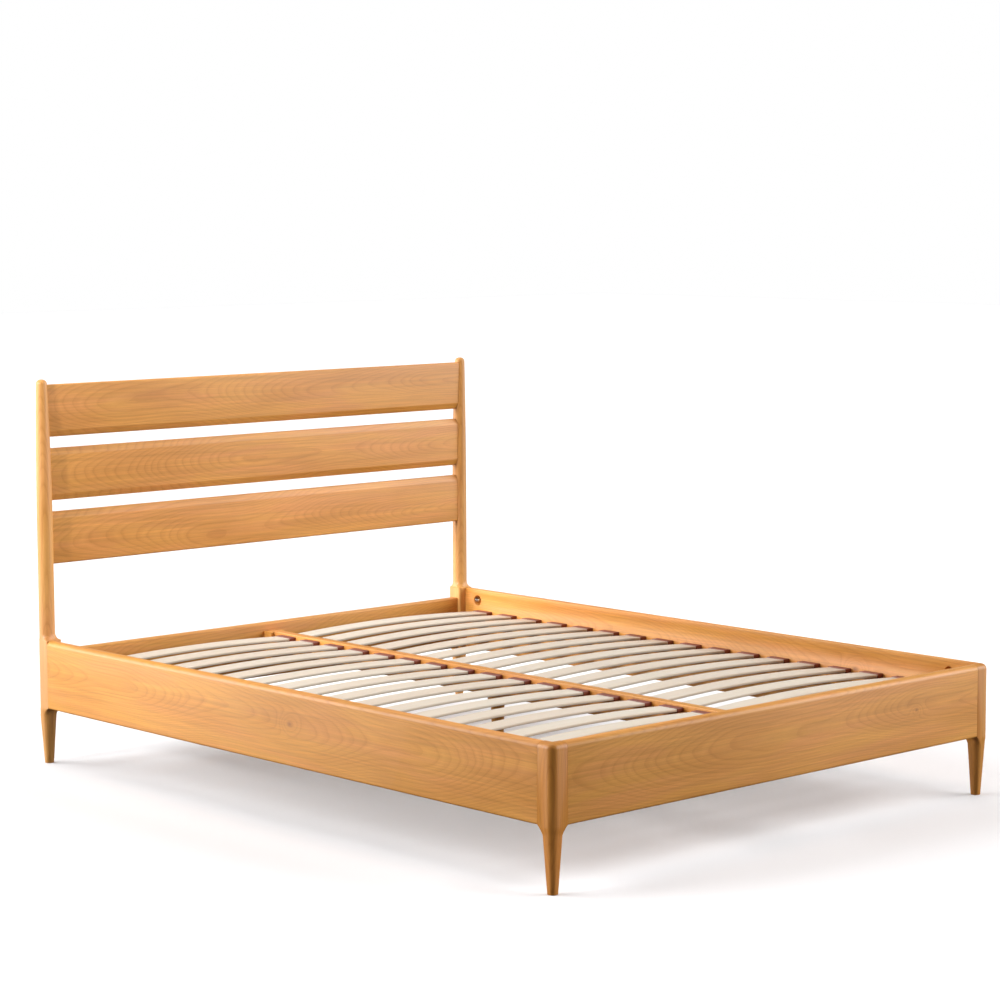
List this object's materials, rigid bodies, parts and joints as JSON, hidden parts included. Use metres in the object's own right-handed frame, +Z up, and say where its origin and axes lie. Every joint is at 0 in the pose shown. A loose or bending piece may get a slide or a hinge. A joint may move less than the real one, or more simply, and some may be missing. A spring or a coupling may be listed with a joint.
{
  "type": "bed frame",
  "caption": "Wooden bed frame with tapered legs, deep side rails, plank headboard and two rows of bowed sprung slats on a centre rail.",
  "frame": {"origin": "on the floor, under the centre of the bed's footprint", "axes": "+X across the bed to its right as seen from the foot, +Y along the bed towards the headboard, +Z up"},
  "size_m": [1.61, 2.124, 1.093],
  "materials": {
    "oak": "satin lacquered oak",
    "birch": "unfinished bent birch veneer",
    "cap_plastic": "matt reddish brown plastic",
    "steel": "zinc plated"
  },
  "bodies": {
    "root": {"bed_bolt_foot_left": "steel", "bed_bolt_foot_right": "steel", "bed_bolt_head_left": "steel", "bed_bolt_head_right": "steel", "centre_ledger_left": "oak", "centre_ledger_right": "oak", "centre_leg": "oak", "centre_rail": "oak", "centre_rail_socket_foot": "oak", "centre_rail_socket_head": "oak", "foot_post_left": "oak", "foot_post_right": "oak", "foot_rail": "oak", "head_rail": "oak", "headboard_plank_bottom": "oak", "headboard_plank_middle": "oak", "headboard_plank_top": "oak", "headboard_post_left": "oak", "headboard_post_right": "oak", "side_ledger_left": "oak", "side_ledger_right": "oak", "side_rail_left": "oak", "side_rail_right": "oak", "slat_caps_centre_left": "cap_plastic", "slat_caps_centre_right": "cap_plastic", "slat_caps_side_left": "cap_plastic", "slat_caps_side_right": "cap_plastic", "slat_left_01": "birch", "slat_left_02": "birch", "slat_left_03": "birch", "slat_left_04": "birch", "slat_left_05": "birch", "slat_left_06": "birch", "slat_left_07": "birch", "slat_left_08": "birch", "slat_left_09": "birch", "slat_left_10": "birch", "slat_left_11": "birch", "slat_left_12": "birch", "slat_left_13": "birch", "slat_left_14": "birch", "slat_left_15": "birch", "slat_left_16": "birch", "slat_right_01": "birch", "slat_right_02": "birch", "slat_right_03": "birch", "slat_right_04": "birch", "slat_right_05": "birch", "slat_right_06": "birch", "slat_right_07": "birch", "slat_right_08": "birch", "slat_right_09": "birch", "slat_right_10": "birch", "slat_right_11": "birch", "slat_right_12": "birch", "slat_right_13": "birch", "slat_right_14": "birch", "slat_right_15": "birch", "slat_right_16": "birch"}
  },
  "joints": []
}
